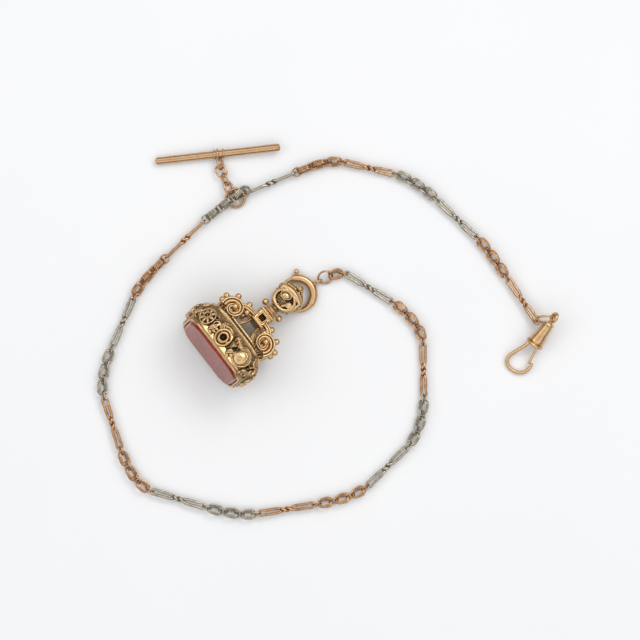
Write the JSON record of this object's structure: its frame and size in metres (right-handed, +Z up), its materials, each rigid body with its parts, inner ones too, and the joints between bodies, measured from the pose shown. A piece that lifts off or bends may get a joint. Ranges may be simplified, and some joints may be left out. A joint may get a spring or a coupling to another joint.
{
  "type": "watch chain",
  "caption": "Two-colour watch chain of twisted long links and small knots, with a seal fob on a round clasp, a T-bar on a short drop and a swivel clip.",
  "frame": {"origin": "centre of the bounding box at the level of the surface the chain lies on", "axes": "+Z up from that surface; +X to the right and +Y away from the viewer as the chain is laid out"},
  "size_m": [0.1292, 0.1054, 0.0208],
  "materials": {
    "rose_gold": "polished",
    "white_gold": "polished",
    "yellow_gold": "satin",
    "antique_gold": "antiqued, dark in the recesses",
    "stone": "polished translucent stone",
    "spring_steel": "plain"
  },
  "bodies": {
    "junction": {"t_junction_ring": "white_gold"},
    "drop_ring": {"t_drop_ring": "rose_gold"},
    "drop_link_c": {"drop_link_c": "rose_gold"},
    "drop_link_b": {"drop_link_b": "rose_gold"},
    "drop_link_a": {"drop_link_a": "rose_gold"},
    "bail": {"t_bar_bail": "rose_gold"},
    "bar": {"t_bar": "rose_gold", "t_bar_collars": "rose_gold"},
    "link_01": {"long_link_01": "white_gold"},
    "link_02": {"long_link_02": "rose_gold"},
    "link_03": {"long_link_03": "white_gold"},
    "link_04": {"long_link_04": "rose_gold"},
    "link_05": {"long_link_05": "white_gold"},
    "link_06": {"long_link_06": "rose_gold"},
    "link_07": {"long_link_07": "white_gold"},
    "link_08": {"long_link_08": "rose_gold"},
    "link_09": {"long_link_09": "white_gold"},
    "link_10": {"long_link_10": "rose_gold"},
    "link_11": {"long_link_11": "white_gold"},
    "link_12": {"long_link_12": "rose_gold"},
    "knots_00": {"knot_group_00": "rose_gold"},
    "knots_01": {"knot_group_01": "rose_gold"},
    "knots_02": {"knot_group_02": "white_gold"},
    "knots_03": {"knot_group_03": "rose_gold"},
    "knots_04": {"knot_group_04": "white_gold"},
    "knots_05": {"knot_group_05": "rose_gold"},
    "knots_06": {"knot_group_06": "white_gold"},
    "knots_07": {"knot_group_07": "rose_gold"},
    "knots_08": {"knot_group_08": "white_gold"},
    "knots_09": {"knot_group_09": "rose_gold"},
    "knots_10": {"knot_group_10": "white_gold"},
    "knots_11": {"knot_group_11": "rose_gold"},
    "fob_ring": {"fob_jump_ring": "rose_gold"},
    "clasp": {"clasp_tube": "yellow_gold", "clasp_horn": "yellow_gold", "clasp_loop": "yellow_gold", "clasp_spring": "spring_steel"},
    "clasp_bolt": {"clasp_bolt": "yellow_gold"},
    "seal": {"seal_stone": "stone", "seal_bezel": "antique_gold", "seal_setting": "antique_gold", "seal_shoulder": "antique_gold", "seal_scrolls_near": "antique_gold", "seal_scrolls_far": "antique_gold", "seal_beads": "antique_gold", "seal_block": "antique_gold", "seal_neck": "antique_gold", "seal_neck_balls": "antique_gold", "seal_finial": "antique_gold"},
    "swivel_ring": {"swivel_jump_ring": "yellow_gold"},
    "swivel_eye": {"swivel_eye": "yellow_gold"},
    "clip": {"clip_collar": "yellow_gold", "clip_base_ring": "yellow_gold", "clip_hook": "yellow_gold", "gate_pin": "spring_steel", "gate_spring": "spring_steel"},
    "gate": {"clip_gate": "yellow_gold"}
  },
  "joints": [
    {"name": "knots_08_turn", "type": "hinge", "parent": "junction", "child": "knots_08", "pos_m": [-0.02336, 0.03983, 0.00134], "axis": [0, 0, -1], "range_deg": [-6, 3]},
    {"name": "link_08_turn", "type": "hinge", "parent": "knots_08", "child": "link_08", "pos_m": [-0.03444, 0.0311, 0.0016], "axis": [0, 0, 1], "range_deg": [-12, 12]},
    {"name": "knots_07_turn", "type": "hinge", "parent": "link_08", "child": "knots_07", "pos_m": [-0.04523, 0.02072, 0.00155], "axis": [0, 0, -1], "range_deg": [-12, 12]},
    {"name": "link_07_turn", "type": "hinge", "parent": "knots_07", "child": "link_07", "pos_m": [-0.05469, 0.00894, 0.00143], "axis": [0, 0, 1], "range_deg": [-12, 12]},
    {"name": "knots_06_turn", "type": "hinge", "parent": "link_07", "child": "knots_06", "pos_m": [-0.06008, -0.00359, 0.00149], "axis": [0, 0, -1], "range_deg": [-12, 12]},
    {"name": "link_06_turn", "type": "hinge", "parent": "knots_06", "child": "link_06", "pos_m": [-0.06249, -0.01919, 0.00142], "axis": [0, 0, 1], "range_deg": [-12, 12]},
    {"name": "knots_05_turn", "type": "hinge", "parent": "link_06", "child": "knots_05", "pos_m": [-0.05826, -0.0321, 0.00148], "axis": [0, 0, -1], "range_deg": [-12, 12]},
    {"name": "link_05_turn", "type": "hinge", "parent": "knots_05", "child": "link_05", "pos_m": [-0.04866, -0.04492, 0.00139], "axis": [0, 0, 1], "range_deg": [-12, 12]},
    {"name": "knots_04_turn", "type": "hinge", "parent": "link_05", "child": "knots_04", "pos_m": [-0.03503, -0.04885, 0.00149], "axis": [0, 0, -1], "range_deg": [-12, 12]},
    {"name": "link_04_turn", "type": "hinge", "parent": "knots_04", "child": "link_04", "pos_m": [-0.01868, -0.05091, 0.00144], "axis": [0, 0, 1], "range_deg": [-12, 12]},
    {"name": "knots_03_turn", "type": "hinge", "parent": "link_04", "child": "knots_03", "pos_m": [-0.00427, -0.04856, 0.00148], "axis": [0, 0, -1], "range_deg": [-12, 12]},
    {"name": "link_03_turn", "type": "hinge", "parent": "knots_03", "child": "link_03", "pos_m": [0.01161, -0.04282, 0.00145], "axis": [0, 0, 1], "range_deg": [-12, 12]},
    {"name": "knots_02_turn", "type": "hinge", "parent": "link_03", "child": "knots_02", "pos_m": [0.02193, -0.03285, 0.00142], "axis": [0, 0, -1], "range_deg": [-12, 12]},
    {"name": "link_02_turn", "type": "hinge", "parent": "knots_02", "child": "link_02", "pos_m": [0.027, -0.01751, 0.00145], "axis": [0, 0, 1], "range_deg": [-12, 12]},
    {"name": "knots_01_turn", "type": "hinge", "parent": "link_02", "child": "knots_01", "pos_m": [0.02686, -0.00392, 0.0014], "axis": [0, 0, -1], "range_deg": [-12, 12]},
    {"name": "link_01_turn", "type": "hinge", "parent": "knots_01", "child": "link_01", "pos_m": [0.01752, 0.00872, 0.00146], "axis": [0, 0, 1], "range_deg": [-12, 12]},
    {"name": "knots_00_turn", "type": "hinge", "parent": "link_01", "child": "knots_00", "pos_m": [0.00565, 0.01602, 0.00138], "axis": [0, 0, -1], "range_deg": [-12, 12]},
    {"name": "fob_ring_lift", "type": "hinge", "parent": "knots_00", "child": "fob_ring", "pos_m": [0.0004, 0.01558, 0.00161], "axis": [0.2511, -0.968, 0], "range_deg": [-12, 5]},
    {"name": "clasp_lift", "type": "hinge", "parent": "fob_ring", "child": "clasp", "pos_m": [-0.00251, 0.01412, 0.00125], "axis": [-0.5225, 0.8526, 0], "range_deg": [-30, 45]},
    {"name": "clasp_bolt_slide", "type": "hinge", "parent": "clasp", "child": "clasp_bolt", "pos_m": [-0.00848, 0.01047, 0.00125], "axis": [0, 0, -1], "range_deg": [0, 45], "stiffness_Nm_per_rad": 0.0002, "deforming": ["clasp_spring"]},
    {"name": "seal_swing", "type": "hinge", "parent": "clasp", "child": "seal", "pos_m": [-0.01207, 0.00767, 0.00125], "axis": [0.6119, -0.7909, 0], "range_deg": [-12, 110]},
    {"name": "drop_ring_turn", "type": "hinge", "parent": "junction", "child": "drop_ring", "pos_m": [-0.02335, 0.03918, 0.00142], "axis": [0, 0, 1], "range_deg": [-5, 0]},
    {"name": "drop_c_lift", "type": "hinge", "parent": "drop_ring", "child": "drop_link_c", "pos_m": [-0.02712, 0.03888, 0.00113], "axis": [-0.9225, -0.3861, 0], "range_deg": [-10, 10]},
    {"name": "drop_b_lift", "type": "hinge", "parent": "drop_link_c", "child": "drop_link_b", "pos_m": [-0.02821, 0.04143, 0.00131], "axis": [-0.9193, -0.3935, 0], "range_deg": [-25, 40]},
    {"name": "drop_a_lift", "type": "hinge", "parent": "drop_link_b", "child": "drop_link_a", "pos_m": [-0.02925, 0.04377, 0.00152], "axis": [-0.9081, -0.4189, 0], "range_deg": [-40, 15]},
    {"name": "bail_lift", "type": "hinge", "parent": "drop_link_a", "child": "bail", "pos_m": [-0.02992, 0.04595, 0.00142], "axis": [-0.9901, -0.14, 0], "range_deg": [-12, 8]},
    {"name": "bar_turn", "type": "hinge", "parent": "bail", "child": "bar", "pos_m": [-0.03073, 0.04974, 0.00166], "axis": [0.9932, 0.1121, 0.0315], "continuous": true},
    {"name": "link_09_turn", "type": "hinge", "parent": "junction", "child": "link_09", "pos_m": [-0.02272, 0.03876, 0.00195], "axis": [0, 0, 1], "range_deg": [-8, 8]},
    {"name": "knots_09_turn", "type": "hinge", "parent": "link_09", "child": "knots_09", "pos_m": [-0.00907, 0.04449, 0.0016], "axis": [0, 0, -1], "range_deg": [-12, 12]},
    {"name": "link_10_turn", "type": "hinge", "parent": "knots_09", "child": "link_10", "pos_m": [0.00532, 0.04739, 0.00142], "axis": [0, 0, 1], "range_deg": [-12, 12]},
    {"name": "knots_10_lift", "type": "hinge", "parent": "link_10", "child": "knots_10", "pos_m": [0.01875, 0.04422, 0.0015], "axis": [-0.2121, -0.9271, -0.309], "range_deg": [-30, 45]},
    {"name": "link_11_turn", "type": "hinge", "parent": "knots_10", "child": "link_11", "pos_m": [0.03136, 0.0363, 0.00149], "axis": [0, 0, -1], "range_deg": [-12, 12]},
    {"name": "knots_11_lift", "type": "hinge", "parent": "link_11", "child": "knots_11", "pos_m": [0.04179, 0.0264, 0.0015], "axis": [-0.6536, -0.6909, -0.309], "range_deg": [-30, 45]},
    {"name": "link_12_turn", "type": "hinge", "parent": "knots_11", "child": "link_12", "pos_m": [0.05088, 0.01425, 0.00151], "axis": [0, 0, 1], "range_deg": [-12, 12]},
    {"name": "swivel_ring_lift", "type": "hinge", "parent": "link_12", "child": "swivel_ring", "pos_m": [0.05892, 0.00235, 0.0022], "axis": [-0.7697, -0.5393, -0.3417], "range_deg": [-30, 12]},
    {"name": "swivel_eye_turn", "type": "hinge", "parent": "swivel_ring", "child": "swivel_eye", "pos_m": [0.06331, 0.00395, 0.00513], "axis": [-0.0232, 0.9566, -0.2904], "range_deg": [-4, 40]},
    {"name": "clip_spin", "type": "hinge", "parent": "swivel_eye", "child": "clip", "pos_m": [0.06116, 0.00103, 0.00418], "axis": [0.5746, 0.7787, 0.252], "continuous": true},
    {"name": "gate_open", "type": "hinge", "parent": "clip", "child": "gate", "pos_m": [0.05889, -0.00398, 0.00278], "axis": [0.1496, 0.2027, -0.9677], "range_deg": [0, 35], "stiffness_Nm_per_rad": 0.0002, "deforming": ["gate_spring"]}
  ]
}
